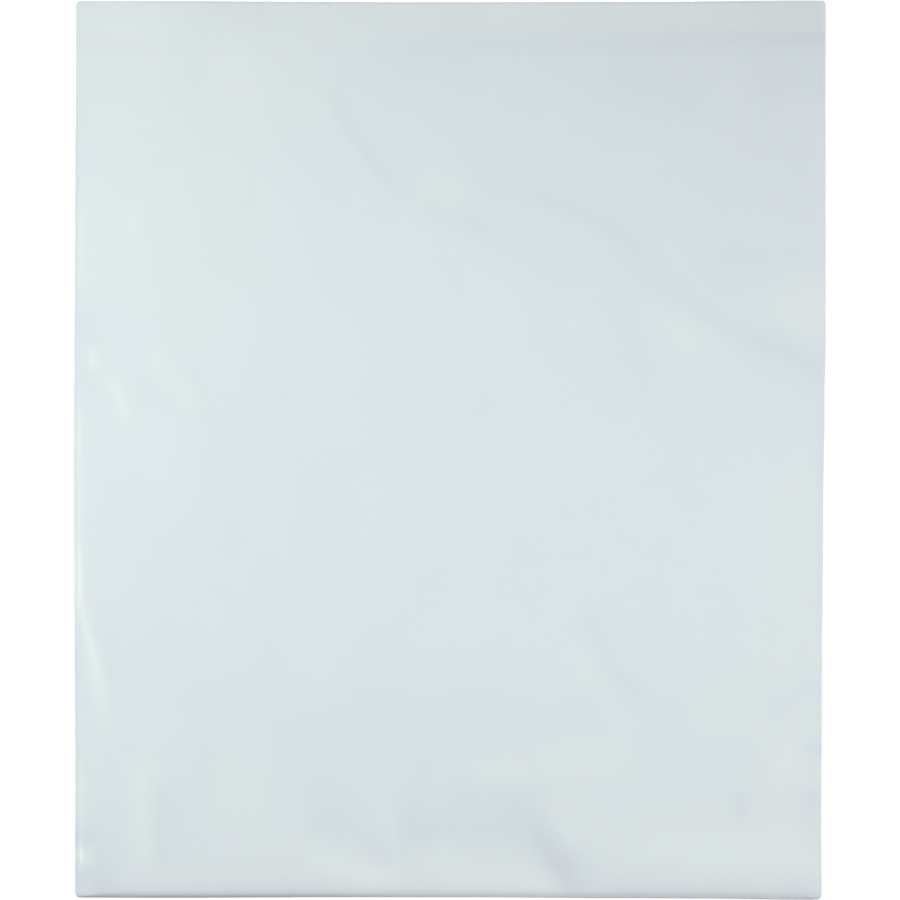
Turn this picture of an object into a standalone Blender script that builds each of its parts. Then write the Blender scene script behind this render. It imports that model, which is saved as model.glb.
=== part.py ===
"""A poly mailer: one web of film, folded and side-welded into a bag, with its closing strip.

The empty bag lies on its back with the plain face up and the flap folded under it.
X runs across the bag, Y from the bottom fold to the flap fold, Z up from what it lies on.
All sizes are in metres.
"""

import math

import bmesh
import bpy

# Driving dimensions of the bag
BAG_WIDTH = 0.508
BAG_LENGTH = 0.610
FLAP_LENGTH = 0.038
LIP_SETBACK = 0.005
FILM = 0.0000635
BOTTOM_CORNER = 0.0028
TOP_CORNER = 0.0018

# The side welds: both films fused, with the bead that the hot knife leaves
WELD_WIDTH = 0.0025
WELD_THICKNESS = 4.0 * FILM
FILMS_APART_IN_WELD = 1.6 * FILM
FILM_SHORT_OF_CUT = 0.0002

# The closing strip on the flap
CLEARANCE = 0.0003
ADHESIVE_WIDTH = 0.012
ADHESIVE_THICKNESS = 0.0002
ADHESIVE_INSET = 0.009
LINER_OVERHANG = 0.004
LINER_THICKNESS = 0.0001

# How the empty bag stands open as it lies: distances between the films' centres
FOLD_HEIGHT = 0.0062
FOLD_REACH = 0.060
FOLD_SLENDERNESS = 4.2
WELDED_FOLD_SLENDERNESS = 1.35
CROWN_HEIGHT = 0.0022
MOUTH_GAP = 0.0007
EDGE_RUN = 0.070
MOUTH_RUN = 0.090
STEP_RUN = 0.042
STEP_CLEAR = 0.003

# Soft creases across the plain face: start, end, height and half-width of each
CREASES = (
    ((0.034, 0.177), (0.252, 0.045), 0.0012, 0.022),
    ((-0.085, 0.240), (0.042, 0.142), 0.0007, 0.018),
    ((0.034, -0.230), (0.084, -0.296), -0.0015, 0.014),
    ((-0.254, -0.066), (-0.226, -0.206), 0.0008, 0.012),
    ((0.242, -0.164), (0.216, -0.242), 0.0008, 0.013),
)
CREASE_FADE = 0.22

# Mesh steps
COLUMNS = 36
FOLD_STEPS = 8
FLAP_STEPS = 2
CORNER_TURNS = (0.0, 45.0, 67.5)
NEAR_FOLD_STEPS = 4
BODY_STEPS = 20
MOUTH_STEPS = 8
OVER_FLAP_STEPS = 3

# Worked out from the values above
HALF_WIDTH = BAG_WIDTH / 2
HALF_LENGTH = BAG_LENGTH / 2
FLAP_EDGE_Y = HALF_LENGTH - FLAP_LENGTH
LIP_Y = HALF_LENGTH - LIP_SETBACK
LINER_WIDTH = ADHESIVE_WIDTH + 2 * LINER_OVERHANG
STRIP_Y = FLAP_EDGE_Y + ADHESIVE_INSET + ADHESIVE_WIDTH / 2
ADHESIVE_Z = FILM + CLEARANCE
LINER_Z = ADHESIVE_Z + ADHESIVE_THICKNESS + CLEARANCE
FLAP_STACK = LINER_Z + LINER_THICKNESS + CLEARANCE
STRIP_LENGTH = BAG_WIDTH - 2 * FILM_SHORT_OF_CUT
OVERLAP = 0.0004


def smooth(value, low, high):
    """A rise from 0 at low to 1 at high, level at both ends."""
    t = min(max((value - low) / (high - low), 0.0), 1.0)
    return t * t * (3.0 - 2.0 * t)


def half_width(y):
    """Half the bag's width at y: less only in the rounded corners at the two folds."""
    width = HALF_WIDTH
    for from_fold, radius in ((y + HALF_LENGTH, BOTTOM_CORNER), (HALF_LENGTH - y, TOP_CORNER)):
        short = radius - min(max(from_fold, 0.0), radius)
        width -= radius - math.sqrt(radius**2 - short**2)
    return width


def back_base(y):
    """Underside of the back panel: flat on the floor, then up over the folded flap."""
    return FLAP_STACK * smooth(y, FLAP_EDGE_Y - STEP_RUN, FLAP_EDGE_Y - STEP_CLEAR)


def crown(y):
    """Distance between the panels at mid-width: widest at the springy bottom fold."""
    from_fold = (y + HALF_LENGTH) / FOLD_REACH
    body = CROWN_HEIGHT + (FOLD_HEIGHT - CROWN_HEIGHT) * math.exp(-from_fold**2)
    return body + (MOUTH_GAP - body) * smooth(y, FLAP_EDGE_Y - MOUTH_RUN, FLAP_EDGE_Y)


def across(x):
    """0 in the side welds and 1 over the middle of the bag."""
    inside = HALF_WIDTH - WELD_WIDTH - abs(x)
    return math.sin(math.pi / 2 * min(max(inside / EDGE_RUN, 0.0), 1.0))


def crease_height(x, y):
    """Height that the soft creases add to the plain face."""
    total = 0.0
    for (x0, y0), (x1, y1), height, half in CREASES:
        run_x, run_y = x1 - x0, y1 - y0
        length = math.hypot(run_x, run_y)
        along = ((x - x0) * run_x + (y - y0) * run_y) / length**2
        aside = ((x - x0) * run_y - (y - y0) * run_x) / length
        ends = smooth(along, 0.0, CREASE_FADE) * smooth(1.0 - along, 0.0, CREASE_FADE)
        total += height * ends * math.exp(-((aside / half) ** 2))
    return total


def back_z(x, y):
    """Centre of the back panel's film, lifted a little where the weld's bead carries it."""
    in_weld = (WELD_THICKNESS - FILMS_APART_IN_WELD) / 2
    lift = (in_weld - FILM / 2) * (1.0 - smooth(across(x), 0.0, 0.2))
    return back_base(y) + FILM / 2 + lift


def gap(x, y):
    """Distance between the centres of the two panels' films."""
    open_by = crown(y) - FILMS_APART_IN_WELD
    open_by += crease_height(x, y) * smooth(open_by, 0.0, CROWN_HEIGHT)
    return FILMS_APART_IN_WELD + open_by * across(x)


def fold_arc(y_tip, depth, z_low, z_high, angle):
    """A point on a fold: angle runs from -90 degrees, below, through its tip to +90."""
    middle, half = (z_low + z_high) / 2, (z_high - z_low) / 2
    return y_tip - depth * (1.0 - math.cos(angle)), middle + half * math.sin(angle)


def top_fold(x, angle):
    """A point on the fold that turns the face under into the flap."""
    z_high = back_z(x, LIP_Y) + gap(x, LIP_Y)
    depth = (z_high - FILM / 2) / 2
    return fold_arc(HALF_LENGTH - FILM / 2, depth, FILM / 2, z_high, angle)


def bottom_fold(x, angle):
    """A point on the bottom fold, between the two panels."""
    y_tip = -HALF_LENGTH + FILM / 2 + FILM_SHORT_OF_CUT
    z_low = back_z(x, y_tip)
    z_high = z_low + gap(x, y_tip)
    slenderness = WELDED_FOLD_SLENDERNESS
    slenderness += (FOLD_SLENDERNESS - WELDED_FOLD_SLENDERNESS) * across(x)
    depth = slenderness * (z_high - z_low) / 2
    y, z = fold_arc(-y_tip, depth, z_low, z_high, angle)
    return -y, z


def span(start, end, steps):
    """Evenly spaced values from start, up to but without end."""
    return [start + (end - start) * k / steps for k in range(steps)]


def panel_rows():
    """Places of the rows along a panel, from 0 at the bottom fold to 1 at the flap fold."""
    flap_edge = BAG_LENGTH - FLAP_LENGTH
    lip = BAG_LENGTH - LIP_SETBACK
    rows = [BOTTOM_CORNER * (1.0 - math.cos(math.radians(turn))) for turn in CORNER_TURNS]
    rows += span(BOTTOM_CORNER, FOLD_REACH, NEAR_FOLD_STEPS)
    rows += span(FOLD_REACH, flap_edge - MOUTH_RUN, BODY_STEPS)
    rows += span(flap_edge - MOUTH_RUN, flap_edge, MOUTH_STEPS)
    rows += span(flap_edge, lip, OVER_FLAP_STEPS)
    rows += [lip, BAG_LENGTH]
    return [row / BAG_LENGTH for row in rows]


def panel_y(x, row):
    """Y of a panel row at x, stretched between the inner ends of the two folds."""
    low, _ = bottom_fold(x, math.pi / 2)
    high, _ = top_fold(x, math.pi / 2)
    return low + (high - low) * row


def on_flap(x, share):
    """A point on the flap, lying on the floor: share is 0 at its free edge."""
    y_start, _ = top_fold(x, -math.pi / 2)
    return FLAP_EDGE_Y + (y_start - FLAP_EDGE_Y) * share, FILM / 2


def on_front(x, row):
    y = panel_y(x, row)
    z_at_lip = back_z(x, LIP_Y) + gap(x, LIP_Y)
    return y, (z_at_lip if y > LIP_Y else back_z(x, y) + gap(x, y))


def on_back(x, row):
    y = panel_y(x, row)
    return y, back_z(x, y)


def column_x(column):
    """X of a column of the web: they stand closer together towards the welds."""
    side = 2.0 * column / COLUMNS - 1.0
    return (HALF_WIDTH - FILM_SHORT_OF_CUT) * math.sin(side * math.pi / 2)


def web_stations():
    """The web from the flap's free edge to the back panel's lip, as (shape, place) pairs."""
    turn = [math.pi * k / FOLD_STEPS - math.pi / 2 for k in range(FOLD_STEPS + 1)]
    rows = panel_rows()
    stations = [(on_flap, k / FLAP_STEPS) for k in range(FLAP_STEPS)]
    stations += [(top_fold, angle) for angle in turn[:-1]]
    stations += [(on_front, row) for row in reversed(rows[1:])]
    stations += [(bottom_fold, angle) for angle in reversed(turn[1:])]
    stations += [(on_back, row) for row in rows[:-1]]
    return stations


def drawn_in(x, y):
    """Where a point of the square-cornered bag lies once its corner is rounded."""
    inner = HALF_WIDTH - WELD_WIDTH - EDGE_RUN
    beyond = max(abs(x) - inner, 0.0) / (HALF_WIDTH - inner)
    return x - math.copysign(beyond * (HALF_WIDTH - half_width(y)), x)


def new_object(name, mesh, collection, material=None):
    made = bpy.data.objects.new(name, mesh)
    collection.objects.link(made)
    if material:
        mesh.materials.append(material)
    return made


def new_material(name, colour, roughness):
    material = bpy.data.materials.new(name)
    material.use_nodes = True
    shader = material.node_tree.nodes["Principled BSDF"]
    shader.inputs["Base Color"].default_value = (*colour, 1.0)
    shader.inputs["Roughness"].default_value = roughness
    shader.inputs["Metallic"].default_value = 0.0
    return material


def sheet_mesh(name, columns, stations, place):
    """A flat grid of columns by stations, each of its points moved by place."""
    mesh = bpy.data.meshes.new(name)
    sheet = bmesh.new()
    bmesh.ops.create_grid(sheet, x_segments=columns, y_segments=stations - 1, size=0.5)
    for vertex in sheet.verts:
        column = round((vertex.co.x + 0.5) * columns)
        station = round((vertex.co.y + 0.5) * (stations - 1))
        vertex.co = place(column, station)
    bmesh.ops.recalc_face_normals(sheet, faces=sheet.faces)
    sheet.to_mesh(mesh)
    sheet.free()
    mesh.shade_smooth()
    return mesh


def add_solidify(sheet, thickness):
    solidify = sheet.modifiers.new("thickness", "SOLIDIFY")
    solidify.thickness = thickness
    solidify.offset = 0.0
    solidify.use_even_offset = True


def folded_web(collection, material):
    """The whole film as it leaves the roll, folded at the bottom and at the flap."""
    stations = web_stations()

    def place(column, station):
        shape, row = stations[station]
        x = column_x(column)
        y, z = shape(x, row)
        return drawn_in(x, y), y, z

    web = new_object(
        "film_bag", sheet_mesh("film_bag", COLUMNS, len(stations), place), collection, material
    )
    add_solidify(web, FILM)
    return web


def side_weld(name, side, collection):
    """The fused strip along one side, from the bottom corner to just past the lip."""
    rows = [row for row in panel_rows() if row * BAG_LENGTH <= BAG_LENGTH - LIP_SETBACK]

    def place(column, station):
        row = rows[station]
        y = panel_y(HALF_WIDTH, row)
        if station == 0:
            y = -HALF_LENGTH
        elif station == len(rows) - 1:
            y = LIP_Y + OVERLAP
        x = HALF_WIDTH - WELD_WIDTH * (1 - column)
        return side * drawn_in(x, y), y, back_base(min(y, LIP_Y)) + WELD_THICKNESS / 2

    weld = new_object(name, sheet_mesh(name, 1, len(rows), place), collection)
    add_solidify(weld, WELD_THICKNESS)
    weld.hide_render = True
    weld.display_type = "WIRE"
    return weld


def fuse(body, tool):
    join = body.modifiers.new(tool.name, "BOOLEAN")
    join.operation = "UNION"
    join.solver = "EXACT"
    join.object = tool


def strip(name, width, thickness, z_low, collection, material):
    """A flat strip across the whole flap, cut off with the bag's sides."""
    mesh = bpy.data.meshes.new(name)
    block = bmesh.new()
    bmesh.ops.create_cube(block, size=1.0)
    bmesh.ops.scale(block, vec=(STRIP_LENGTH, width, thickness), verts=block.verts)
    block.to_mesh(mesh)
    block.free()
    made = new_object(name, mesh, collection, material)
    made.location = (0.0, STRIP_Y, z_low + thickness / 2)
    return made


def adhesive_strip(collection):
    """The hot-melt line on the flap's inner side, with its edges rounded off."""
    glue = new_material("adhesive", (0.83, 0.82, 0.74), 0.35)
    line = strip(
        "adhesive_strip", ADHESIVE_WIDTH, ADHESIVE_THICKNESS, ADHESIVE_Z, collection, glue
    )
    rounding = line.modifiers.new("rounded edges", "BEVEL")
    rounding.width = ADHESIVE_THICKNESS * 0.4
    rounding.segments = 2


def release_liner(collection):
    """The coated strip that covers the adhesive until the bag is closed."""
    liner = new_material("liner", (0.80, 0.86, 0.90), 0.30)
    strip("release_liner", LINER_WIDTH, LINER_THICKNESS, LINER_Z, collection, liner)


def film_bag(collection, tools):
    film = new_material("film", (0.80, 0.85, 0.87), 0.32)
    web = folded_web(collection, film)
    for name, side in (("weld_left", -1), ("weld_right", 1)):
        fuse(web, side_weld(name, side, tools))


def main():
    for leftover in list(bpy.data.objects):
        bpy.data.objects.remove(leftover, do_unlink=True)
    mailer = bpy.data.collections.new("poly_mailer")
    tools = bpy.data.collections.new("weld_tools")
    bpy.context.scene.collection.children.link(mailer)
    bpy.context.scene.collection.children.link(tools)
    film_bag(mailer, tools)
    adhesive_strip(mailer)
    release_liner(mailer)


main()
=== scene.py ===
"""The film mailer's looks: one detailed web of film stands for the bag's plain solid.

The empty bag lies on its back, with the plain face up and the flap folded under it.
X runs across the bag, Y from the bottom fold to the flap fold, Z up. Sizes are in metres.
"""

import math

import bmesh
import bpy
import numpy as np
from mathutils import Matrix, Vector


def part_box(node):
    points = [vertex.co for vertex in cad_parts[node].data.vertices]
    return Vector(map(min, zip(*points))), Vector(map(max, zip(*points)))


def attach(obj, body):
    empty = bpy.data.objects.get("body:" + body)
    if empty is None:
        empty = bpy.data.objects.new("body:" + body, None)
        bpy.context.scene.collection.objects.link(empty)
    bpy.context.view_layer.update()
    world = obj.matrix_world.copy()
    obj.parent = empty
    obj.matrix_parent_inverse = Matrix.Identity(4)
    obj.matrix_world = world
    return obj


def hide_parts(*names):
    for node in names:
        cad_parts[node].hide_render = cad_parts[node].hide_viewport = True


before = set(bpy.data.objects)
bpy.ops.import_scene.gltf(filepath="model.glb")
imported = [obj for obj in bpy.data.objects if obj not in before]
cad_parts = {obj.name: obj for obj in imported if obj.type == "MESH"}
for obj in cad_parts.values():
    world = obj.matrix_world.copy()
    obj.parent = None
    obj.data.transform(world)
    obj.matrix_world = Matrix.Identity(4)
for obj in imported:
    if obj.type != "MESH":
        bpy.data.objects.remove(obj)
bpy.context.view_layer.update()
film_low, film_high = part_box("film_bag")

MM = 0.001

# The bag: its width and length come from the imported film's box, and its flap, its lip and the
# film's thickness are as in the imported model
BAG_WIDTH = round(film_high.x - film_low.x, 4)
BAG_LENGTH = round(film_high.y - film_low.y, 4)
FLAP_LENGTH = 0.038
LIP_SETBACK = 0.005
FILM = 0.0000635
HALF_WIDTH = BAG_WIDTH / 2
HALF_LENGTH = BAG_LENGTH / 2
FLAP_EDGE_Y = HALF_LENGTH - FLAP_LENGTH
LIP_Y = HALF_LENGTH - LIP_SETBACK

# How high the folded flap lifts the back panel, and the rounded corners at the two folds
FLAP_STACK = 0.00032
BOTTOM_CORNER = 0.0023
TOP_CORNER = 0.0018
CORNER_REACH = 0.060

# The side welds: (distance in from the cut edge, thickness over both films)
WELD_SECTION = (
    (0.0, 0.00009),
    (0.00008, 0.00020),
    (0.00025, 0.00026),
    (0.0006, 0.00022),
    (0.0011, 0.00015),
    (0.0018, 0.00013),
    (0.0025, 0.00014),
)
WELD_WIDTH = WELD_SECTION[-1][0]
WELD_TOP = max(thickness for _, thickness in WELD_SECTION)

# How the empty bag stands open as it lies
FOLD_HEIGHT = 0.0036
FOLD_REACH = 0.042
FOLD_DEPTH = 0.0135
CROWN_HEIGHT = 0.0019
MOUTH_GAP = 0.0016
MOUTH_RUN = 0.022
FLAP_GAP = 0.0005
EDGE_RUN = 0.085
NOSE_RUN = 0.020
STEP_RUN = 0.042
STEP_CLEAR = 0.003
LEAST_GAP = 0.00012
GAP_EASE = 0.00030
SHUT_RUN = 0.06
BEAD_FADE = 0.2
TOP_FOLD_ROUNDNESS = 0.8

# Slack in the film: small puckers along the side welds and a faint swell over both panels.
# A swell is a sum of waves, each longer than the last and turned and shifted from it.
PUCKER_HEIGHT = 0.00022
PUCKER_REACH = 0.014
PUCKER_START = 0.003
FACE_SWELL = 0.00020
BACK_SWELL = 0.00035
SWELLS = 9
SWELL_LENGTH = 0.062
SWELL_GROWTH = 1.16
SWELL_TURN = 2.4
SWELL_SHIFT = 1.7
EDGE_WAVE = 0.00012

# Uneven ripples: (length, share, turn of the start) of each wave, and where each use starts
RIPPLES = ((0.043, 0.5, 1.0), (0.0236, 0.3, 2.3), (0.0147, 0.2, 4.1))
PUCKER_STARTS = (0.7, 2.9)
EDGE_STARTS = (0.0, 5.0)
STRIP_STARTS = (1.3, 3.9)
FACE_SWELL_START = 0.3
BACK_SWELL_START = 1.9


def run_of(node):
    """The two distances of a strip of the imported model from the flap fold."""
    low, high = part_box(node)
    return round(HALF_LENGTH - high.y, 4), round(HALF_LENGTH - low.y, 4)


# The closure on the flap's inner side: a line of hot melt under its release liner. Both lie
# between the flap and the back panel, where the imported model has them.
STRIP_INSET = 0.0002
STRIP_LIFT = 0.00001
ADHESIVE_RUN = run_of("adhesive_strip")
ADHESIVE_THICKNESS = 0.00014
ADHESIVE_WANDER = 0.00025
LINER_RUN = run_of("release_liner")
LINER_THICKNESS = 0.00006
LINER_LOW = FILM + ADHESIVE_THICKNESS + 2 * STRIP_LIFT
STRIP_STEP = 0.004
SHOULDER_POWER = 6

# Steps of the mesh, from the left edge to the right and from the bottom to the top. A run of
# columns or rows has its end and its step.
COLUMN_RUNS = (
    (0.014, 0.0012), (0.060, 0.0019), (0.290, 0.0036), (BAG_WIDTH - WELD_WIDTH, 0.0027),
)
ROW_RUNS = ((0.150, 0.0024), (0.470, 0.0040), (BAG_LENGTH - LIP_SETBACK, 0.0028))
ROWS_ABOVE_LIP = 2
NOSE_STEPS = 10
TOP_FOLD_STEPS = 5
FLAP_STEPS = 8
BEAD_STEPS = 8
SHARP_ANGLE = 50

# Where the photograph's pixels lie on the bag, and the camera over its middle
PIXEL = 0.000679
PHOTO_SIZE = 900
PHOTO_CENTRE = (450.0, 450.0)
CAMERA_HEIGHT = 2.2
SENSOR = 36.0

# Surfaces. Painted shade and painted highlights turn the film's colour by a cast, one way or the other
# and in full from the range on. The painted shade at the two folds has a cast of its own.
FILM_COLOUR = (0.647, 0.712, 0.731)
PAINTED_SHADE_CAST = (-0.002, 0.0, 0.011)
PAINTED_SHADE_RANGE = 0.035
FOLD_SHADE_CAST = (0.010, 0.0, 0.022)
FILM_ROUGHNESS = 0.34
ROUGHNESS_PLAY = 0.03
MELT_COLOUR = (0.66, 0.64, 0.54)
MELT_UNEVEN = 0.12
LINER_COLOUR = (0.64, 0.71, 0.77)
LINER_UNEVEN = 0.05
FLOOR_COLOUR = (0.97, 0.97, 0.97)
FLOOR_UNEVEN = 0.02
WHITE = (1.0, 1.0, 1.0, 1.0)
NOISE_LOW, NOISE_HIGH = 0.25, 0.75

# Where painted shade lies over the flap band, along the strip's line and along the folds, and a painted
# highlight along the flap's edge: places along the web from the flap's edge, half widths of lines,
# and places across it from the left edge
FLAP_BLUR = 0.003
FLAP_EDGE_HIGHLIGHT_AT, FLAP_EDGE_HALF = 2 * FLAP_LENGTH + 0.002, 0.003
FLAP_EDGE_FROM, FLAP_EDGE_TO, FLAP_EDGE_BLUR = 0.270, 0.420, 0.030
STRIP_SHADE_AT, STRIP_HALF = 0.0638, 0.007
STRIP_FROM = 0.300
TOP_FOLD_HALF = 0.0032
BOTTOM_FOLD_HALF = 0.0060
BY_BOTTOM_FOLD_HALF = 0.0170
BOTTOM_LEFT_HALF = 0.0034
BOTTOM_LEFT_FULL, BOTTOM_LEFT_END = 0.10, 0.30

# The share of the film's lightness that each takes away as painted shade, or adds as a painted
# highlight where it is negative. The cloud and the die lines are unevenness of the film itself.
PAINTED_SHADE_AND_UNEVENNESS = {
    "under flap": 0.012,
    "flap edge": -0.008,
    "strip": 0.030,
    "top fold": 0.10,
    "bottom fold": 0.20,
    "by bottom fold": 0.05,
    "bottom left": 0.24,
    "cloud": 0.008,
    "die lines": 0.005,
}

# The studio. Each light has its place, its aim, its size, its power and its spread in degrees.
FLOOR_SIZE = 4.0
FLOOR_DROP = 0.0002
FLOOR_GLOW = 0.2
WORLD_GLOW = 0.299
LIGHTS = {
    "left_low": ((-2.2, 0.2, 0.8), (0.0, 0.0, 0.0), (1.2, 1.2), 42.6, 180),
    "left_glint": ((-1.5, 0.0, 1.3), (-0.15, 0.10, 0.0), (0.8, 0.8), 0.84, 40),
    "right_fill": ((1.4, -0.2, 1.5), (0.1, -0.1, 0.0), (0.8, 1.0), 3.18, 60),
}

# The outline in photograph pixels: (row, column) down the sides, (column, row) along the folds
LEFT_EDGE = ((10, 76.0), (200, 74.9), (320, 74.1), (480, 73.5), (620, 74.0), (760, 75.0))
RIGHT_EDGE = (
    (60, 825.0), (200, 825.6), (340, 825.7), (395, 824.5), (430, 824.4), (490, 823.4),
    (700, 821.9), (820, 821.2), (890, 821.6),
)
TOP_EDGE = ((90, 1.2), (450, 2.7), (620, 2.5), (820, 0.8))
BOTTOM_EDGE = ((150, 897.5), (330, 896.8), (480, 896.9), (600, 897.8), (700, 898.1), (810, 899.6))


def smooth(value, low, high):
    """A rise from 0 at low to 1 at high, level at both ends."""
    t = np.clip((value - low) / (high - low), 0.0, 1.0)
    return t * t * (3.0 - 2.0 * t)


def place(pixel):
    """A pixel of the photograph as (x, y) on the bag."""
    x, y = pixel
    return (x - PHOTO_CENTRE[0]) * PIXEL, (PHOTO_CENTRE[1] - y) * PIXEL


def sway(at, points):
    """A smooth run through the values that the points give at their places."""
    total = points[0][1]
    for (low, before), (high, after) in zip(points, points[1:]):
        total = total + (after - before) * smooth(at, low, high)
    return total


def ripple(at, start):
    """An uneven ripple between about -1 and 1."""
    return sum(
        share * np.sin(2 * math.pi * at / length + start * turn)
        for length, share, turn in RIPPLES
    )


# Creases of the plain face. Each is a line of photograph pixels, its height in mm, how far it
# reaches in mm on its left and right sides seen along the line, and how far it fades at its
# two ends, as shares of its length.
CREASES = {
    "long fold, upper strand": (
        ((500, 186), (530, 196), (560, 210), (590, 226), (618, 246), (645, 262), (675, 280)),
        0.4, 5, 30, 0.25, 0.30,
    ),
    "long fold, lower strand": (
        ((570, 236), (600, 252), (628, 272), (655, 290), (685, 310), (715, 330), (745, 346),
         (775, 358), (800, 372), (816, 382)),
        0.5, 5, 34, 0.25, 0.40,
    ),
    "upper left fold": (
        ((312, 70), (330, 104), (346, 130), (362, 152), (380, 178), (398, 198), (420, 210)),
        0.5, 4.5, 26, 0.30, 0.25,
    ),
    "middle fold": (
        ((392, 200), (430, 216), (460, 224), (490, 238), (520, 250)), 0.4, 4.5, 22, 0.3, 0.3,
    ),
    "upper middle line": (
        ((405, 108), (434, 126), (456, 142), (476, 164)), 0.4, 4.5, 16, 0.3, 0.3,
    ),
    "upper line": (((482, 96), (506, 108), (526, 118), (552, 124)), 0.35, 4.5, 16, 0.3, 0.3),
    "left spot": (((98, 340), (97, 356), (102, 374)), 0.35, 8, 2.6, 0.45, 0.45),
    "left streak": (((100, 368), (115, 382), (125, 394), (131, 420)), 0.4, 10, 3.2, 0.4, 0.4),
    "left curl": (
        ((150, 342), (160, 354), (170, 366), (188, 384), (206, 434)), 0.25, 10, 3.2, 0.3, 0.4,
    ),
    "weld pull": (
        ((75, 520), (78, 560), (86, 606), (98, 648), (108, 690), (116, 725), (124, 770)),
        0.7, 16, 4.5, 0.35, 0.4,
    ),
    "upright crease": (((147, 752), (148, 800), (149, 840), (149, 882)), 0.2, 14, 3.6, 0.2, 0.2),
    "corner pucker": (((70, 858), (86, 857), (104, 852)), 0.9, 4.5, 4.5, 0.2, 0.5),
    "bottom step": (
        ((466, 752), (492, 784), (508, 806), (525, 832), (542, 858), (554, 880), (566, 906)),
        0.8, 12, 46, 0.35, 0.45,
    ),
    "small bottom fold": (((352, 820), (370, 842), (388, 872)), 0.2, 20, 5, 0.4, 0.2),
    "lower middle fold": (((388, 780), (392, 806), (402, 836), (410, 856)), 0.25, 16, 6, 0.4, 0.2),
    "corner fold": (
        ((806, 690), (790, 712), (782, 740), (774, 776), (764, 812)), 0.35, 6, 14, 0.3, 0.4,
    ),
    "corner dimple": (((734, 764), (738, 796), (736, 830)), 0.4, 5, 14, 0.4, 0.4),
    "lower right fold": (
        ((588, 600), (600, 638), (616, 664), (638, 684), (670, 702), (724, 722)),
        0.4, 26, 6, 0.3, 0.3,
    ),
}
CREASE_SOFTNESS = 0.35
CREASE_REACH = 5.0
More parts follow.
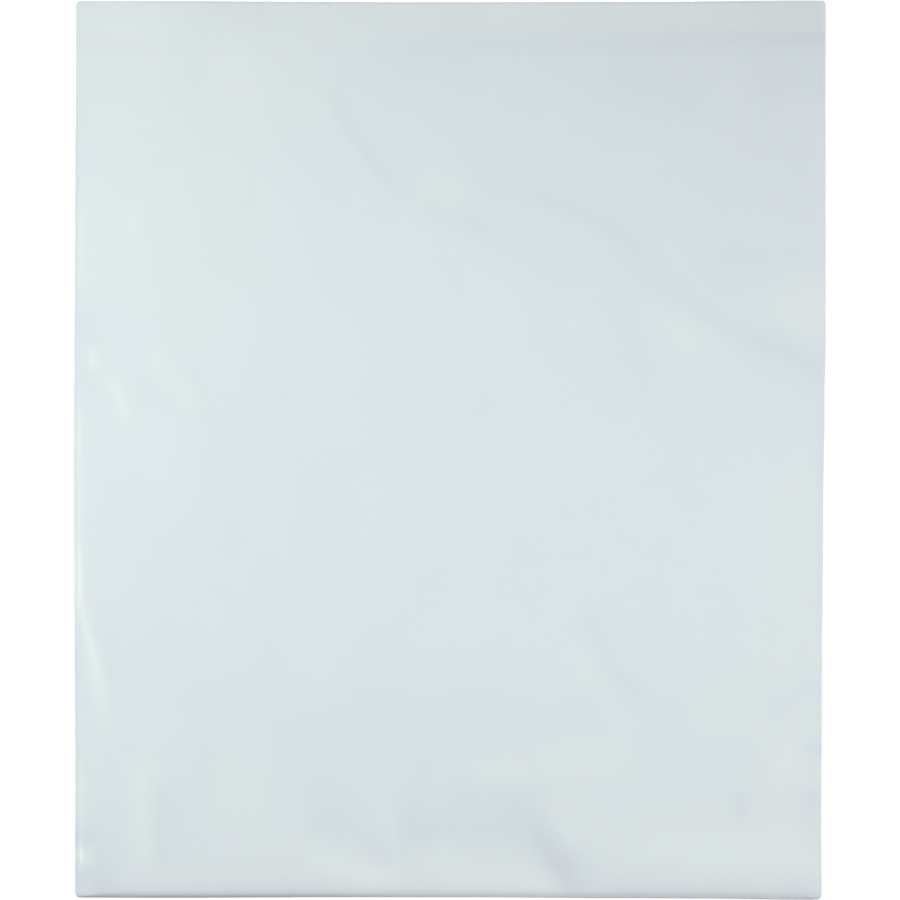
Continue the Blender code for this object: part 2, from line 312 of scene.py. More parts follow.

# Painted shade and painted highlights on the plain face, standing in for how light falls on its
# creases and folds: lines as above, with the strength in hundredths of its lightness. Negative
# ones are painted highlights.
SHADES = {
    # Along the flap band and below it on the right
    "top left light": (((40, 20), (180, 18), (330, 16)), -2.8, 30, 40, 0.05, 0.6),
    "top right light": (((250, 14), (500, 14), (860, 14)), -2.6, 8, 9, 0.2, 0.05),
    "top right band": (
        ((300, 46), (480, 44), (700, 42), (860, 41)), 3.0, 7.5, 9, 0.35, 0.02,
    ),
    "upper right dark": (((740, 82), (790, 82), (850, 84)), 2.2, 6, 6, 0.3, 0.1),
    "upper right light": (((764, 106), (800, 106), (850, 108)), -1.0, 5, 5, 0.3, 0.1),
    "upper right hollow": (((590, 78), (640, 84), (700, 92)), 1.6, 8, 8, 0.3, 0.3),
    "upper right line": (((676, 122), (698, 98), (720, 72)), 1.8, 5, 5, 0.3, 0.3),
    "beside upper right line": (((700, 116), (716, 98), (736, 72)), -0.8, 4, 4, 0.3, 0.3),
    # The upper folds
    "above long fold": (
        ((500, 180), (545, 198), (600, 218), (645, 254), (690, 296), (740, 328), (790, 350),
         (836, 380)),
        1.3, 70, 3, 0.15, 0.5,
    ),
    "above upper left fold": (
        ((318, 50), (334, 96), (358, 134), (386, 172), (418, 202), (470, 222), (520, 244)),
        0.8, 60, 3, 0.1, 0.3,
    ),
    "upper left strand": (((326, 92), (346, 124), (368, 158), (394, 194)), 1.5, 2.4, 2.8, 0.25, 0.25),
    "upper left light": (((354, 100), (380, 134), (410, 170)), -1.4, 6, 5, 0.3, 0.3),
    "left of upper left fold": (
        ((190, 56), (250, 80), (306, 108), (326, 136)), -2.0, 14, 14, 0.3, 0.3,
    ),
    "upper middle band": (((404, 98), (450, 128), (500, 160), (560, 200)), 1.3, 14, 12, 0.3, 0.2),
    "middle strand": (((404, 206), (432, 214), (462, 222), (498, 236)), 0.8, 3, 3, 0.25, 0.25),
    "middle light": (((412, 186), (440, 190), (470, 196)), -2.8, 5, 5, 0.3, 0.3),
    "upper strand": (
        ((508, 188), (545, 200), (576, 213), (604, 227), (628, 244), (648, 260), (668, 276)),
        2.4, 3.4, 3.8, 0.25, 0.3,
    ),
    "lower strand": (
        ((590, 240), (612, 254), (636, 271), (662, 288), (692, 306), (724, 326), (756, 342),
         (790, 354), (836, 384)),
        2.8, 3.4, 4.2, 0.25, 0.1,
    ),
    "between strands": (
        ((400, 205), (450, 228), (500, 249), (550, 276), (600, 306), (650, 336)),
        1.7, 24, 3, 0.35, 0.3,
    ),
    "long fold's foot": (((735, 340), (775, 352), (810, 364), (836, 392)), 1.8, 9, 9, 0.4, 0.1),
    "below long fold": (((590, 286), (618, 326), (636, 368), (648, 420)), 1.8, 14, 12, 0.3, 0.3),
    "right upper band": (((690, 256), (740, 262), (836, 264)), 1.4, 8, 8, 0.3, 0.1),
    "light end": (((780, 330), (800, 310), (836, 300)), -3.4, 12, 12, 0.3, 0.1),
    "light middle": (((646, 318), (676, 330), (712, 352)), -1.6, 6, 6, 0.3, 0.3),
    # The left side, down from the flap
    "left light": (((90, -20), (134, 120), (152, 300), (152, 560)), -1.9, 50, 50, 0.1, 0.4),
    "left edge": (((68, 100), (68, 240)), 2.6, 14, 14, 0.3, 0.3),
    "left glow": (((98, 166), (103, 206), (108, 246)), -1.5, 16, 16, 0.3, 0.3),
    "left line": (((132, 190), (133, 244)), -2.4, 3, 3, 0.3, 0.3),
    "left middle": (((110, 272), (114, 330), (116, 390), (113, 440)), 1.8, 30, 34, 0.35, 0.35),
    "left short line": (((186, 316), (188, 356)), -2, 4, 4, 0.3, 0.3),
    "spot": (((94, 344), (92, 358), (96, 372)), -6.4, 2.7, 2.7, 0.35, 0.35),
    "streak": (
        ((100, 376), (112, 386), (120, 395), (123, 406), (126, 432)), -4.6, 2.8, 2.8, 0.3, 0.3,
    ),
    "curl": (((150, 350), (158, 362), (172, 378), (188, 394), (198, 430)), -2, 3, 4, 0.2, 0.3),
    "curl's start": (((149, 349), (155, 358), (163, 367)), -2.8, 2.6, 2.6, 0.3, 0.3),
    "left weld light": (((75, 370), (74, 450), (74, 560), (75, 650)), -3.2, 2, 2, 0.3, 0.3),
    "weld pull light": (
        ((70, 520), (73, 562), (79, 604), (89, 645), (98, 685), (106, 720), (113, 752)),
        -4.4, 3.4, 4, 0.25, 0.35,
    ),
    "beside weld pull": (((76, 600), (90, 660), (100, 724)), 2.0, 20, 14, 0.3, 0.3),
    "left edge, lower": (((79, 752), (80, 790), (80, 838)), -5, 2.5, 3, 0.3, 0.3),
    # The middle and the right side
    "middle": (((420, 300), (430, 480), (440, 660)), 1.0, 90, 90, 0.3, 0.3),
    "right edge, upper": (((822, 40), (822, 170)), -0.5, 4, 4, 0.2, 0.3),
    "right edge, lower": (((824, 400), (820, 640), (822, 930)), -1.7, 30, 30, 0.2, 0.02),
    "right weld": (((823, 380), (821, 440), (820, 520), (819, 600), (818, 690)), 2.1, 3, 3.6, 0.2, 0.3),
    "right edge dip": (((836, 748), (800, 750)), 4.6, 4, 4, 0.1, 0.3),
    "right edge hollow": (((814, 780), (812, 812), (818, 862)), 5.4, 6, 8, 0.2, 0.2),
    # The lower folds
    "lower band": (((200, 740), (300, 722), (420, 716), (580, 712)), 1.4, 20, 28, 0.25, 0.15),
    "lower band's edge": (((560, 690), (580, 716), (584, 744)), 1.6, 6, 8, 0.3, 0.3),
    "below lower right fold": (
        ((583, 588), (595, 630), (611, 664), (637, 691), (664, 705), (706, 720)),
        3.4, 3.4, 4.4, 0.2, 0.45,
    ),
    "left of lower right fold": (((574, 640), (588, 668), (602, 700)), -1.4, 5, 7, 0.3, 0.3),
    "right of lower right fold": (((700, 686), (722, 710), (732, 740)), -2.2, 9, 9, 0.3, 0.3),
    "light strip": (((462, 774), (500, 768), (540, 772)), -2.9, 5, 5, 0.3, 0.3),
    "light strip, right": (((530, 766), (580, 760), (640, 766)), -4, 6, 6, 0.2, 0.3),
    "left patch": (((200, 782), (236, 790), (272, 800)), -3.2, 12, 12, 0.3, 0.3),
    "upright light": (((142, 756), (142, 800), (144, 872)), -5.2, 4, 4, 0.15, 0.2),
    "beside upright crease": (((162, 770), (164, 830), (166, 880)), 2.8, 5, 9, 0.3, 0.2),
    "right diagonal": (((830, 674), (796, 696), (756, 724)), 2.3, 7, 6, 0.2, 0.3),
    "right hollow": (((690, 776), (730, 764), (764, 740)), 1.2, 9, 9, 0.3, 0.3),
    "right glint": (((788, 732), (786, 752), (776, 800)), -2.4, 5, 5, 0.3, 0.3),
    "right spot": (((740, 786), (741, 826)), 4.2, 4.5, 4.5, 0.3, 0.3),
    "lower right hollow": (((550, 794), (620, 800), (680, 806), (740, 806)), 1.0, 12, 10, 0.3, 0.3),
    # The step in the bottom fold
    "bottom step, dark": (
        ((488, 772), (514, 802), (534, 832), (554, 858), (569, 876), (583, 902)),
        9.6, 8, 5.6, 0.74, 0.25,
    ),
    "left of bottom step": (((450, 776), (474, 796), (500, 812)), 2.0, 7, 8, 0.3, 0.3),
    "right of bottom step": (((546, 792), (568, 820), (588, 850)), -4.0, 9, 7, 0.3, 0.3),
    "left of step's foot": (((496, 856), (528, 872), (552, 888)), -2.6, 4, 4, 0.4, 0.2),
    "bottom step's foot": (((534, 886), (548, 890), (566, 893)), -4.0, 4, 5, 0.3, 0.3),
    # Along the bottom
    "lower left hollow": (((300, 824), (345, 828), (385, 836)), 3.2, 11, 8, 0.3, 0.3),
    "lower left line": (((362, 834), (378, 850), (392, 868)), 3.6, 4, 4, 0.3, 0.3),
    "lower middle hollow": (((388, 828), (420, 830), (470, 830), (530, 826)), 3.6, 11, 8, 0.2, 0.2),
    "lower middle line": (((396, 786), (402, 816), (410, 846)), 0.8, 5, 5, 0.3, 0.3),
    "lower light": (((396, 850), (430, 860), (480, 872), (560, 890)), -4.8, 7, 9, 0.3, 0.2),
    "bottom left light": (((290, 852), (330, 860), (384, 884)), -5.4, 7, 7, 0.3, 0.2),
    "bottom left glow": (((244, 836), (272, 846), (304, 858)), -2.0, 7, 7, 0.3, 0.3),
    "bottom left dark": (((230, 866), (260, 872), (312, 876)), 0.6, 8, 8, 0.3, 0.3),
    "bottom middle light": (((366, 884), (386, 876), (410, 872)), -4.0, 5, 5, 0.3, 0.3),
    "bottom right light": (((560, 842), (680, 852), (760, 852), (860, 838)), -4.8, 16, 8, 0.25, 0.05),
    "bottom light": (((320, 889), (440, 889), (540, 887), (620, 889)), -2.4, 4, 5, 0.3, 0.2),
    "foot light, left": (((110, 874), (240, 876), (400, 877), (470, 876)), -1.5, 7, 6, 0.15, 0.3),
    "foot light, right": (((650, 866), (760, 866), (860, 860)), -1.7, 10, 10, 0.3, 0.05),
    "right foot": (((590, 830), (624, 832), (660, 836)), 1.6, 6, 6, 0.3, 0.3),
    "left foot": (((60, 812), (104, 848), (150, 862)), 2.4, 16, 18, 0.1, 0.3),
    # The bottom corners
    "left corner dark": (((62, 840), (80, 840), (98, 844)), 5.4, 5, 4, 0.1, 0.4),
    "left corner light": (((66, 858), (84, 857), (100, 854)), -8.6, 4.6, 4.6, 0.1, 0.3),
    "left corner foot": (((58, 868), (88, 876), (122, 886)), 5.4, 8, 8, 0.1, 0.4),
    "left corner line": (((68, 897), (82, 897.2), (96, 897.4)), 34, 0.7, 0.7, 0.1, 0.6),
    "right corner foot": (((774, 889), (802, 889), (840, 889)), 3.6, 4, 4, 0.4, 0.1),
    "right corner line": (((796, 899.4), (812, 899.5), (830, 899.2)), 18, 1.6, 1.6, 0.45, 0.1),
}
SHADE_SOFTNESS = 1.0


def curve_through(points, per_span=4):
    """Points along a smooth curve through the given ones."""
    padded = [points[0], *points, points[-1]]
    path = []
    for a, b, c, d in zip(padded, padded[1:], padded[2:], padded[3:]):
        for k in range(per_span):
            t = k / per_span
            path.append(tuple(
                0.5 * (2 * q + (r - p) * t + (2 * p - 5 * q + 4 * r - s) * t**2
                       + (3 * q - p - 3 * r + s) * t**3)
                for p, q, r, s in zip(a, b, c, d)
            ))
    path.append(points[-1])
    return path


def ridge(x, y, line, left, right, fade_in, fade_out, softness):
    """Height of a crease of height 1 at x, y. A low softness gives it a sharp crest."""
    path = curve_through([place(p) for p in line])
    reach = CREASE_REACH * max(left, right) * MM
    columns, rows = zip(*path)
    near = (x > min(columns) - reach) & (x < max(columns) + reach)
    near &= (y > min(rows) - reach) & (y < max(rows) + reach)
    field = np.zeros_like(x)
    if not near.any():
        return field
    px, py = x[near], y[near]
    spans = [math.dist(a, b) for a, b in zip(path, path[1:])]
    total, run = sum(spans), 0.0
    nearest, along, aside = np.full_like(px, np.inf), np.zeros_like(px), np.zeros_like(px)
    for (x0, y0), (x1, y1), length in zip(path, path[1:], spans):
        dx, dy = (x1 - x0) / length, (y1 - y0) / length
        clipped = np.clip((px - x0) * dx + (py - y0) * dy, 0.0, length)
        away = np.hypot(px - x0 - clipped * dx, py - y0 - clipped * dy)
        closer = away < nearest
        nearest = np.where(closer, away, nearest)
        along = np.where(closer, run + clipped, along)
        aside = np.where(closer, (px - x0) * dy - (py - y0) * dx, aside)
        run += length
    share = along / total
    ends = smooth(share, 0.0, fade_in) * smooth(1.0 - share, 0.0, fade_out)
    half = np.where(aside < 0, left, right) * MM
    field[near] = ends * np.exp(softness - np.hypot(nearest / half, softness))
    return field


def total_of(features, x, y, softness):
    """All the given creases or shades together, in their own unit."""
    total = np.zeros_like(x)
    for line, size, *spec in features.values():
        total += size * ridge(x, y, line, *spec, softness)
    return total


def puckers(x, y):
    """Small folds that start at the side welds and die out over the panel."""
    from_weld = np.maximum(HALF_WIDTH - WELD_WIDTH - np.abs(x), 0.0)
    fade = np.exp(-from_weld / PUCKER_REACH) - np.exp(-from_weld / PUCKER_START)
    return PUCKER_HEIGHT * fade * ripple(y, np.where(x < 0, *PUCKER_STARTS))


def swell(x, y, start):
    """An uneven swell between about -1 and 1."""
    total = np.zeros_like(x)
    for k in range(SWELLS):
        angle = SWELL_TURN * k + start
        run = x * math.cos(angle) + y * math.sin(angle)
        length = SWELL_LENGTH * SWELL_GROWTH**k
        total += np.sin(2 * math.pi * run / length + SWELL_SHIFT * k)
    return total / math.sqrt(SWELLS)


def front_relief(x, y):
    """Height of the plain face's slack and creases."""
    slack = puckers(x, y) + FACE_SWELL * swell(x, y, FACE_SWELL_START)
    return slack + MM * total_of(CREASES, x, y, CREASE_SOFTNESS)


def weld_thickness(x):
    """Thickness over both films at x, by the section of the side welds."""
    inside = HALF_WIDTH - np.abs(x)
    return np.interp(inside, *zip(*WELD_SECTION))


def across(x, run=EDGE_RUN):
    """0 in the side welds and 1 over the middle of the bag."""
    inside = np.clip((HALF_WIDTH - WELD_WIDTH - np.abs(x)) / run, 0.0, 1.0)
    return np.sin(math.pi / 2 * inside)


def back_base(y):
    """Underside of the back panel: flat on the floor, then up over the folded flap."""
    return FLAP_STACK * smooth(y, FLAP_EDGE_Y - STEP_RUN, FLAP_EDGE_Y - STEP_CLEAR)


def back_lift(x, y):
    """How far slack lifts the back panel off what it lies on."""
    return BACK_SWELL * across(x) * (1.0 + np.tanh(swell(x, y, BACK_SWELL_START))) / 2


def crown(y):
    """Distance between the panels at mid-width: widest at the springy bottom fold."""
    from_fold = np.maximum(y + HALF_LENGTH - FOLD_DEPTH, 0.0) / FOLD_REACH
    body = CROWN_HEIGHT + (FOLD_HEIGHT - CROWN_HEIGHT) * np.exp(-(from_fold**2))
    low = body + (FLAP_GAP - body) * smooth(y, FLAP_EDGE_Y - STEP_RUN, FLAP_EDGE_Y)
    return low + (MOUTH_GAP - FLAP_GAP) * smooth(y, FLAP_EDGE_Y, FLAP_EDGE_Y + MOUTH_RUN)


def back_z(x, y):
    """Centre of the back panel's film, lifted where the weld's bead carries it."""
    in_weld = (WELD_TOP - weld_thickness(x)) / 2
    bead = in_weld * (1.0 - smooth(across(x), 0.0, BEAD_FADE))
    return back_base(y) + FILM / 2 + bead + back_lift(x, y)


def gap(x, y):
    """Distance between the centres of the two panels' films."""
    closed = weld_thickness(x) - FILM
    shape = across(x)
    relief = front_relief(x, y) * smooth(shape, 0.0, SHUT_RUN) - back_lift(x, y)
    least = closed + LEAST_GAP * shape
    spare = (crown(y) - closed) * shape + relief - LEAST_GAP * shape
    return least + (spare + np.hypot(spare, GAP_EASE * shape)) / 2


def corner_inset(y):
    """How far the rounded corners at the two folds draw the edge in at y."""
    inset = np.zeros_like(y)
    for from_fold, radius in ((y + HALF_LENGTH, BOTTOM_CORNER), (HALF_LENGTH - y, TOP_CORNER)):
        short = radius - np.clip(from_fold, 0.0, radius)
        inset += radius - np.sqrt(radius**2 - short**2)
    return inset


def to_outline(x, y):
    """Where a point of the square bag lies once its edges sway and its corners are round."""
    column, row = PHOTO_CENTRE[0] + x / PIXEL, PHOTO_CENTRE[1] - y / PIXEL
    left, _ = place((sway(row, LEFT_EDGE), 0.0))
    right, _ = place((sway(row, RIGHT_EDGE), 0.0))
    _, top = place((0.0, sway(column, TOP_EDGE)))
    _, bottom = place((0.0, sway(column, BOTTOM_EDGE)))
    left_start, right_start = EDGE_STARTS
    left = left + EDGE_WAVE * ripple(y, left_start)
    right = right + EDGE_WAVE * ripple(y, right_start)
    beyond = np.maximum(np.abs(x) - HALF_WIDTH + CORNER_REACH, 0.0) / CORNER_REACH
    drawn = np.copysign(beyond * corner_inset(y), x)
    share_x, share_y = x / BAG_WIDTH + 0.5, y / BAG_LENGTH + 0.5
    return left + (right - left) * share_x - drawn, bottom + (top - bottom) * share_y


def graded(start, runs):
    """Places from start on, in an even number of equal steps within each run."""
    places = []
    for stop, step in runs:
        count = 2 * max(1, round((stop - start) / step / 2))
        places += [start + (stop - start) * k / count for k in range(count)]
        start = stop
    return places + [start]


def column_places():
    """X of each column of the web, from the left cut edge to the right one."""
    weld = [inside for inside, _ in WELD_SECTION]
    middle = graded(WELD_WIDTH, COLUMN_RUNS)
    right = [BAG_WIDTH - inside for inside in reversed(weld)]
    return np.array(weld[:-1] + middle[:-1] + right) - HALF_WIDTH


def row_places():
    """Rows of a panel as shares of the way from the bottom fold to the flap fold."""
    rows = graded(0.0, ROW_RUNS)
    return np.array(rows + [(rows[-1] + BAG_LENGTH) / 2, BAG_LENGTH]) / BAG_LENGTH


def nose_point(x, turn):
    """A point of the bottom fold: turn is 0 at its tip and 1 where a panel begins."""
    tip = -HALF_LENGTH + FILM / 2
    y_in = tip + FOLD_DEPTH * across(x, NOSE_RUN)
    low, high = back_z(x, y_in), back_z(x, y_in) + gap(x, y_in)
    angle = turn * math.pi / 2
    y = tip + (y_in - tip) * (1.0 - np.cos(angle))
    return y, (low + high) / 2 + (high - low) / 2 * np.sin(angle)


def top_fold_point(x, turn):
    """A point of the flap fold: turn is -1 on the flap, 0 at the tip and 1 on the face."""
    z_high = back_z(x, LIP_Y) + gap(x, np.full_like(x, LIP_Y))
    z_low = FILM / 2
    half = (z_high - z_low) / 2
    angle = turn * math.pi / 2
    y = HALF_LENGTH - FILM / 2 - TOP_FOLD_ROUNDNESS * half * (1.0 - np.cos(angle))
    return y, z_low + half + half * np.sin(angle)


def web_grid():
    """Centre of the film at every column and station, from the flap's edge to the lip."""
    x = column_places()[None, :]
    rows = row_places()[:, None]
    lip = len(rows) - 1 - ROWS_ABOVE_LIP
    low, _ = nose_point(x, 1.0)
    high, _ = top_fold_point(x, 1.0)
    flap_end, _ = top_fold_point(x, -1.0)
    y_flap = FLAP_EDGE_Y + (flap_end - FLAP_EDGE_Y) * np.arange(FLAP_STEPS)[:, None] / FLAP_STEPS
    turns = np.arange(-TOP_FOLD_STEPS, TOP_FOLD_STEPS)[:, None] / TOP_FOLD_STEPS
    y_panel = low + (high - low) * rows
    x_panel = np.broadcast_to(x, y_panel.shape)
    z_back = back_z(x_panel, y_panel)
    z_front = z_back + gap(x_panel, y_panel)
    z_front[lip:] = back_z(x, LIP_Y) + gap(x, np.full_like(x, LIP_Y))
    nose_turns = np.arange(NOSE_STEPS, -NOSE_STEPS, -1)[:, None] / NOSE_STEPS
    parts = (
        (y_flap, np.full_like(y_flap, FILM / 2)), top_fold_point(x, turns),
        (y_panel[:0:-1], z_front[:0:-1]), nose_point(x, nose_turns),
        (y_panel[:lip + 1], z_back[:lip + 1]),
    )
    y, z = (np.concatenate(values) for values in zip(*parts))
    grid = np.stack((*to_outline(np.broadcast_to(x, y.shape), y), z), axis=2)
    front_lip = FLAP_STEPS + 2 * TOP_FOLD_STEPS + ROWS_ABOVE_LIP
    tip = front_lip + lip + NOSE_STEPS
    return grid, {"flap fold": FLAP_STEPS, "front lip": front_lip, "tip": tip}


def outward(grid):
    """Unit normals of the web on the side that faces out of the bag."""
    normal = np.cross(np.gradient(grid, axis=0), np.gradient(grid, axis=1))
    return normal / np.linalg.norm(normal, axis=2, keepdims=True)


def web_faces(count_s, count_c, weld, marks):
    """Faces of the closed skin: outer and inner sides, cut edges and fused side welds.

    The plain face, from the flap fold to the tip of the bottom fold, has every cell of the
    grid. The rest has one face for each block of two cells by two.
    """
    fold, lip, tip = marks["flap fold"], marks["front lip"], marks["tip"]
    last, edge = count_s - 1, count_c - 1
    faces = []

    def outer(s, c):
        return s * count_c + c

    def inner(s, c):
        return (count_s + s) * count_c + c

    def add(*points):
        faces.append(tuple(dict.fromkeys(points)))

    def welded(s, c):
        return s >= lip and not weld <= c < edge - weld

    def block(side, s, c):
        after_tip = [side(s, c + 1)] if s == tip else []
        before_fold = [side(s + 2, c + 1)] if s + 2 == fold else []
        add(
            side(s, c), *after_tip, side(s, c + 2),
            side(s + 2, c + 2), *before_fold, side(s + 2, c),
        )

    for s in range(fold, tip):
        for c in range(edge):
            add(outer(s, c), outer(s, c + 1), outer(s + 1, c + 1), outer(s + 1, c))
            if not welded(s, c):
                add(inner(s, c), inner(s, c + 1), inner(s + 1, c + 1), inner(s + 1, c))
    for s in (*range(0, fold, 2), *range(tip, last, 2)):
        for c in range(0, edge, 2):
            block(outer, s, c)
            if not welded(s, c):
                block(inner, s, c)
    for c in range(0, edge, 2):
        add(outer(0, c), outer(0, c + 2), inner(0, c + 2), inner(0, c))
        if welded(last, c):
            under = inner(lip, c + 2), inner(lip, c + 1), inner(lip, c)
        else:
            under = inner(last, c + 2), inner(last, c)
        add(outer(last, c), outer(last, c + 2), *under)
    cut_edge = [*range(0, fold, 2), *range(fold, lip + 1)]
    for side, wall in ((0, weld), (edge, edge - weld)):
        for s, after in zip(cut_edge, cut_edge[1:]):
            add(outer(s, side), outer(after, side), inner(after, side), inner(s, side))
        for s in range(lip, tip, 2):
            below = 2 * tip - s
            for skin, c in ((outer, side), (inner, wall)):
                add(skin(s, c), skin(s + 1, c), skin(s + 2, c), skin(below - 2, c), skin(below, c))
        add(outer(lip, side), outer(last, side), inner(lip, side))
        add(outer(last, wall), inner(last, wall), inner(lip, wall))
    return faces


def web_map(grid):
    """Each point's place on the flat web: across it, and along it from the flap's edge."""
    steps = np.linalg.norm(np.diff(grid, axis=0), axis=2).mean(axis=1)
    along = np.concatenate(([0.0], np.cumsum(steps)))
    flat = np.zeros((*grid.shape[:2], 2))
    flat[:, :, 0] = column_places() + HALF_WIDTH
    flat[:, :, 1] = along[:, None]
    return flat


def closed_mesh(name, points, faces, flat, values=None):
    """A mesh of the points that the faces use, with the flat places as its UV map.

    Values are named numbers for each point, which the material reads.
    """
    used = sorted({p for face in faces for p in face})
    number = {p: k for k, p in enumerate(used)}
    mesh = bpy.data.meshes.new(name)
    mesh.from_pydata(points[used].tolist(), [], [[number[p] for p in face] for face in faces])
    corners = np.empty(len(mesh.loops), dtype=int)
    mesh.loops.foreach_get("vertex_index", corners)
    mesh.uv_layers.new(name="flat web").uv.foreach_set("vector", flat[used][corners].ravel())
    for key, numbers in (values or {}).items():
        mesh.attributes.new(key, "FLOAT", "POINT").data.foreach_set("value", numbers[used])
    skin = bmesh.new()
    skin.from_mesh(mesh)
    bmesh.ops.recalc_face_normals(skin, faces=skin.faces)
    open_edges = sum(1 for e in skin.edges if len(e.link_faces) != 2)
    skin.to_mesh(mesh)
    skin.free()
    mesh.shade_smooth()
    mesh.set_sharp_from_angle(angle=math.radians(SHARP_ANGLE))
    triangles = sum(len(face) - 2 for face in faces)
    print(f"{name}: {len(used)} points, {triangles} triangles, {open_edges} open edges")
    return mesh


def film_mesh():
    """The web's closed skin, and where the tip of the bottom fold is along the flat web."""
    grid, marks = web_grid()
    normal = outward(grid)
    sides = np.concatenate((grid + normal * FILM / 2, grid - normal * FILM / 2))
    flat = web_map(grid)
    faces = web_faces(*grid.shape[:2], len(WELD_SECTION) - 1, marks)
    # The painted shade and painted highlights of SHADES, on the plain face, as a number at each point
    shade = np.zeros(grid.shape[:2])
    face = slice(marks["flap fold"], marks["tip"])
    shade[face] = total_of(SHADES, grid[face, :, 0], grid[face, :, 1], SHADE_SOFTNESS) / 100
    mesh = closed_mesh(
        "film_web", sides.reshape(-1, 3), faces, np.tile(flat.reshape(-1, 2), (2, 1)),
        {"shade": np.tile(shade.ravel(), 2)},
    )
    return mesh, flat[marks["tip"], 0, 1]


class Nodes:
    """A material's node tree, with short calls to add and join nodes."""

    def __init__(self, name, roughness, **settings):
        self.material = bpy.data.materials.new(name)
        self.material.use_nodes = True
        self.tree = self.material.node_tree
        self.shader = self.tree.nodes["Principled BSDF"]
        self.set(self.shader, Roughness=roughness, **settings)

    def set(self, node, **inputs):
        """Give the node's inputs a value each, or a socket to follow."""
        for key, value in inputs.items():
            socket = node.inputs[key.replace("_", " ")]
            if isinstance(value, bpy.types.NodeSocket):
                self.tree.links.new(value, socket)
            else:
                socket.default_value = value
        return node

    def add(self, kind, **values):
        """A new node of this kind, with its own settings."""
        node = self.tree.nodes.new("ShaderNode" + kind)
        for key, value in values.items():
            setattr(node, key, value)
        return node

    def math(self, operation, *values):
        """The operation's result on numbers or sockets."""
        node = self.add("Math", operation=operation)
        for socket, value in zip(node.inputs, values):
            if isinstance(value, bpy.types.NodeSocket):
                self.tree.links.new(value, socket)
            else:
                socket.default_value = value
        return node.outputs[0]

    def rise(self, source, low, high, start=0.0, end=1.0):
        """Start at low and end at high, with a smooth rise between."""
        node = self.add("MapRange", interpolation_type="SMOOTHSTEP")
        self.set(node, Value=source, From_Min=low, From_Max=high, To_Min=start, To_Max=end)
        return node.outputs["Result"]

    def band(self, source, low, high, soft):
        """1 between low and high, and 0 outside, with soft edges."""
        up = self.rise(source, low - soft / 2, low + soft / 2)
        down = self.rise(source, high - soft / 2, high + soft / 2, 1.0, 0.0)
        return self.math("MULTIPLY", up, down)

    def line(self, source, centre, half):
        """1 at the centre, and 0 from the half width on."""
        away = self.math("ABSOLUTE", self.math("SUBTRACT", source, centre))
        return self.rise(away, 0.0, half, 1.0, 0.0)

    def flat_place(self):
        """Place on the flat sheet, as a vector and as its two numbers, in metres."""
        place = self.add("UVMap", uv_map="flat web").outputs["UV"]
        parts = self.add("SeparateXYZ")
        self.set(parts, Vector=place)
        return place, parts.outputs["X"], parts.outputs["Y"]

    def noise(self, vector, scale, detail, stretch=(1.0, 1.0, 1.0), **values):
        """Uneven noise, with scale in turns a metre."""
        spread = self.add("Mapping")
        self.set(spread, Vector=vector, Scale=stretch)
        node = self.add("TexNoise")
        self.set(node, Vector=spread.outputs["Vector"], Scale=scale, Detail=detail, **values)
        return node.outputs["Fac"]

    def scaled(self, vector, scale):
        """The colour or vector times a number."""
        node = self.add("VectorMath", operation="SCALE")
        self.set(node, Vector=vector, Scale=scale)
        return node.outputs["Vector"]

    def tint(self, colour, dark, *casts):
        """The colour, less a share of it, with each (cast, share of it) on top."""
        total = self.scaled(colour, self.math("SUBTRACT", 1.0, dark))
        for cast, share in casts:
            node = self.add("VectorMath", operation="ADD")
            self.tree.links.new(total, node.inputs[0])
            self.tree.links.new(self.scaled(cast, share), node.inputs[1])
            total = node.outputs["Vector"]
        self.set(self.shader, Base_Color=total)

    def rough(self, source, low, high):
        """Roughness that follows a noise between low and high."""
        self.set(self.shader, Roughness=self.rise(source, NOISE_LOW, NOISE_HIGH, low, high))

    def bump(self, height, distance):
        """Fine relief in the shading, distance deep."""
        node = self.add("Bump")
        self.set(node, Strength=1.0, Distance=distance, Height=height)
        self.set(self.shader, Normal=node.outputs["Normal"])


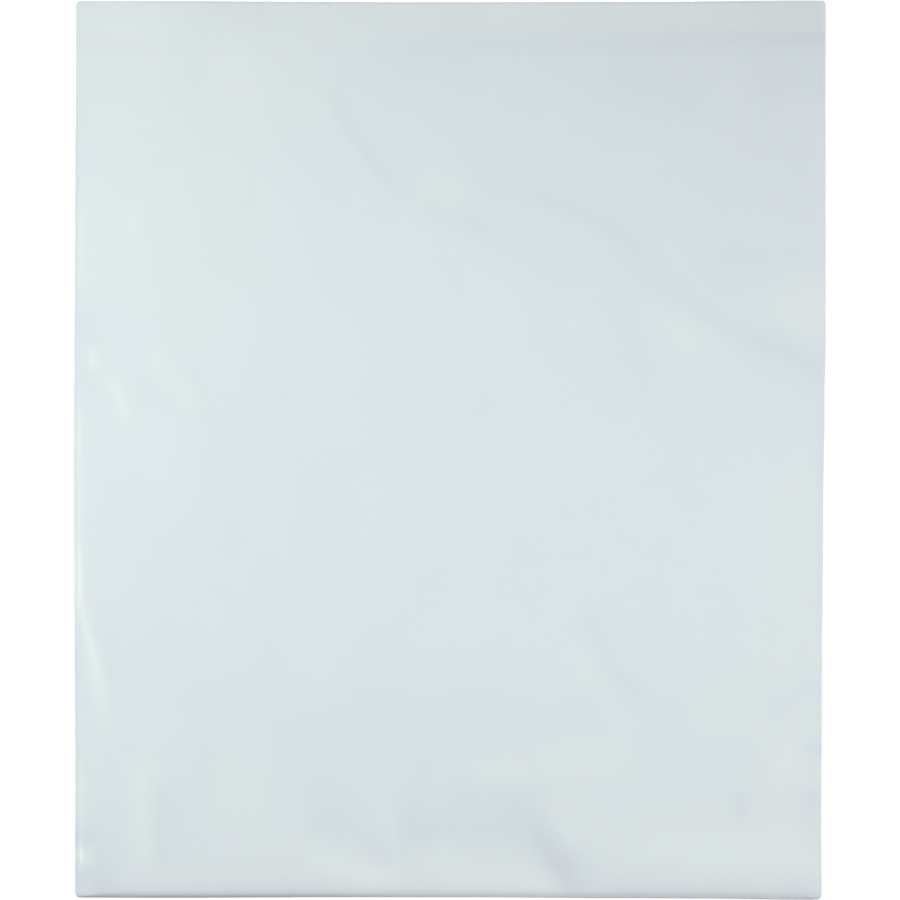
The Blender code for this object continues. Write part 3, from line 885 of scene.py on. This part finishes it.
def film_material(tip):
    """White film, with painted shade and painted highlights at the folds, the flap band and the strip.
    """
    n = Nodes("white_film", FILM_ROUGHNESS, IOR=1.5)
    where, across_web, along_web = n.flat_place()
    # The painted shade and painted highlights of SHADES, as the mesh carries them
    marks = n.add("Attribute", attribute_type="GEOMETRY", attribute_name="shade").outputs["Fac"]
    flap_edge = n.line(along_web, FLAP_EDGE_HIGHLIGHT_AT, FLAP_EDGE_HALF)
    flap_edge_run = n.band(across_web, FLAP_EDGE_FROM, FLAP_EDGE_TO, FLAP_EDGE_BLUR)
    strip = n.line(along_web, STRIP_SHADE_AT, STRIP_HALF)
    strip_run = n.rise(across_web, STRIP_FROM, BAG_WIDTH)
    bottom_left = n.line(along_web, tip, BOTTOM_LEFT_HALF)
    bottom_left_run = n.rise(across_web, BOTTOM_LEFT_END, BOTTOM_LEFT_FULL)
    shows = {
        "under flap": n.band(along_web, FLAP_LENGTH, 2 * FLAP_LENGTH, FLAP_BLUR),
        "flap edge": n.math("MULTIPLY", flap_edge, flap_edge_run),
        "strip": n.math("MULTIPLY", strip, strip_run),
        "top fold": n.line(along_web, FLAP_LENGTH, TOP_FOLD_HALF),
        "bottom fold": n.line(along_web, tip, BOTTOM_FOLD_HALF),
        "by bottom fold": n.line(along_web, tip, BY_BOTTOM_FOLD_HALF),
        "bottom left": n.math("MULTIPLY", bottom_left, bottom_left_run),
        "cloud": n.noise(where, scale=14.0, detail=3.0),
        "die lines": n.noise(where, scale=1.0, detail=2.0, stretch=(420.0, 3.0, 1.0)),
    }
    # Painted shade and painted highlights, with the film's own cloud and die lines, on its colour
    dark = marks
    for name, share in shows.items():
        dark = n.math("ADD", dark, n.math("MULTIPLY", share, PAINTED_SHADE_AND_UNEVENNESS[name]))
    # Casts for the painted shade and painted highlights, and for the painted shade at the folds
    painted_shade_side = n.rise(marks, -PAINTED_SHADE_RANGE, PAINTED_SHADE_RANGE, start=-1.0, end=1.0)
    fold_shade_side = n.math("MAXIMUM", shows["by bottom fold"], shows["top fold"])
    n.tint(FILM_COLOUR, dark, (PAINTED_SHADE_CAST, painted_shade_side), (FOLD_SHADE_CAST, fold_shade_side))
    sheen = n.noise(where, scale=60.0, detail=2.0)
    n.rough(sheen, FILM_ROUGHNESS - ROUGHNESS_PLAY, FILM_ROUGHNESS + ROUGHNESS_PLAY)
    grain = n.noise(where, scale=900.0, detail=2.0)
    n.bump(n.math("ADD", shows["die lines"], grain), distance=0.000004)
    return n.material


def adhesive_material():
    """Hot melt, drawn out along the strip."""
    n = Nodes("hot_melt", roughness=0.22, IOR=1.48)
    where, _, _ = n.flat_place()
    flow = n.noise(where, scale=1.0, detail=3.0, stretch=(60.0, 500.0, 1.0))
    n.tint(MELT_COLOUR, n.math("MULTIPLY", flow, MELT_UNEVEN))
    n.rough(flow, low=0.18, high=0.30)
    n.bump(flow, distance=0.00002)
    return n.material


def liner_material():
    """Coated release film, with faint streaks along it."""
    n = Nodes("release_film", roughness=0.28, IOR=1.5)
    where, _, _ = n.flat_place()
    coating = n.noise(where, scale=1.0, detail=3.0, stretch=(8.0, 700.0, 1.0))
    n.tint(LINER_COLOUR, n.math("MULTIPLY", coating, LINER_UNEVEN))
    n.rough(coating, low=0.24, high=0.34)
    n.bump(n.noise(where, scale=700.0, detail=2.0), distance=0.000005)
    return n.material


def table_material():
    """The pale floor, which glows a little as a lit white sweep does."""
    n = Nodes("pale_table", roughness=0.8, Emission_Color=WHITE, Emission_Strength=FLOOR_GLOW)
    where = n.add("TexCoord").outputs["Object"]
    grain = n.noise(where, scale=260.0, detail=3.0)
    n.tint(FLOOR_COLOUR, n.math("MULTIPLY", grain, FLOOR_UNEVEN))
    n.bump(grain, distance=0.00002)
    return n.material


def add_object(name, data, material=None):
    """A new object of the scene with this mesh, light or camera."""
    made = bpy.data.objects.new(name, data)
    bpy.context.scene.collection.objects.link(made)
    if material:
        data.materials.append(material)
    return made


def strip_mesh(name, section, wander):
    """A closed strip across the flap, along which its two edges wander a little.

    The section is its loop of points: distance from the flap fold, z, and a side that is 1 at
    the near edge and -1 at the far one.
    """
    count = 2 * round(BAG_WIDTH / STRIP_STEP / 2)
    x = np.linspace(-HALF_WIDTH + STRIP_INSET, HALF_WIDTH - STRIP_INSET, count + 1)
    loop = [(HALF_LENGTH - d, z, side) for d, z, side in section]
    near_start, far_start = STRIP_STARTS
    points, flat = [], []
    run = 0.0
    for k, (y, z, side) in enumerate(loop):
        run += math.dist((y, z), loop[k - 1][:2]) if k else 0.0
        edge = y + side * wander * ripple(x, near_start if side > 0 else far_start)
        px, py = to_outline(x, edge)
        points.append(np.stack((px, py, np.full_like(x, z)), axis=1))
        flat.append(np.stack((x + HALF_WIDTH, np.full_like(x, run)), axis=1))
    size, columns = len(loop), count + 1
    faces = [
        (s * columns + c, s * columns + c + 1, (s + 1) % size * columns + c + 1,
         (s + 1) % size * columns + c)
        for s in range(size) for c in range(count)
    ]
    faces += [tuple(s * columns + end for s in range(size)) for end in (0, count)]
    return closed_mesh(name, np.concatenate(points), faces, np.concatenate(flat))


def bead_section():
    """Cross-section of the hot melt: flat below, with rounded shoulders."""
    low, (near, far) = FILM + STRIP_LIFT, ADHESIVE_RUN
    steps = [k / BEAD_STEPS for k in range(BEAD_STEPS + 1)]
    top = [
        (near + (far - near) * t,
         low + ADHESIVE_THICKNESS * math.sqrt(1 - abs(2 * t - 1) ** SHOULDER_POWER), 1 - 2 * t)
        for t in steps[1:-1]
    ]
    return [(near, low, 1.0), *top, (far, low, -1.0)]


def adhesive():
    """The line of hot melt on the flap's inner side."""
    mesh = strip_mesh("hot_melt", bead_section(), ADHESIVE_WANDER)
    bead = add_object("hot_melt_line", mesh, adhesive_material())
    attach(bead, "root")
    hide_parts("adhesive_strip")
    return bead


def liner(bead):
    """The release liner, laid on the hot melt."""
    near, far = LINER_RUN
    low, high = LINER_LOW, LINER_LOW + LINER_THICKNESS
    section = [(near, high, 1.0), (far, high, -1.0), (far, low, -1.0), (near, low, 1.0)]
    strip = add_object("liner_strip", strip_mesh("liner", section, 0.0), liner_material())
    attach(strip, "root")
    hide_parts("release_liner")


def film_bag():
    """The film web, folded into the bag."""
    mesh, tip = film_mesh()
    bag = add_object("mailer_film", mesh, film_material(tip))
    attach(bag, "root")
    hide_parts("film_bag")


def floor():
    """A wide pale floor just under the bag."""
    mesh = bpy.data.meshes.new("table_top")
    plane = bmesh.new()
    bmesh.ops.create_grid(plane, x_segments=2, y_segments=2, size=FLOOR_SIZE)
    plane.to_mesh(mesh)
    plane.free()
    top = add_object("table_top", mesh, table_material())
    top.location.z = -FLOOR_DROP


def area_light(name, place_at, aim, size, power, spread):
    """A rectangular soft light that faces its aim."""
    data = bpy.data.lights.new(name, "AREA")
    data.shape = "RECTANGLE"
    data.size, data.size_y = size
    data.energy = power
    data.spread = math.radians(spread)
    made = add_object(name, data)
    made.location = place_at
    made.rotation_euler = (Vector(aim) - Vector(place_at)).to_track_quat("-Z", "Y").to_euler()


def studio():
    """Even light from all round, a low light from the left and a narrower one from each side."""
    world = bpy.data.worlds.new("studio")
    bpy.context.scene.world = world
    world.use_nodes = True
    background = world.node_tree.nodes["Background"]
    background.inputs["Color"].default_value = WHITE
    background.inputs["Strength"].default_value = WORLD_GLOW
    for name, light in LIGHTS.items():
        area_light(name, *light)


def camera():
    """Straight above the bag, with the photograph's frame."""
    data = bpy.data.cameras.new("camera")
    data.sensor_width = SENSOR
    data.lens = SENSOR * CAMERA_HEIGHT / (PHOTO_SIZE * PIXEL)
    made = add_object("camera", data)
    made.location = (0.0, 0.0, CAMERA_HEIGHT)
    bpy.context.scene.camera = made


bpy.context.scene.view_settings.view_transform = "Standard"
film_bag()
liner(adhesive())
floor()
studio()
camera()
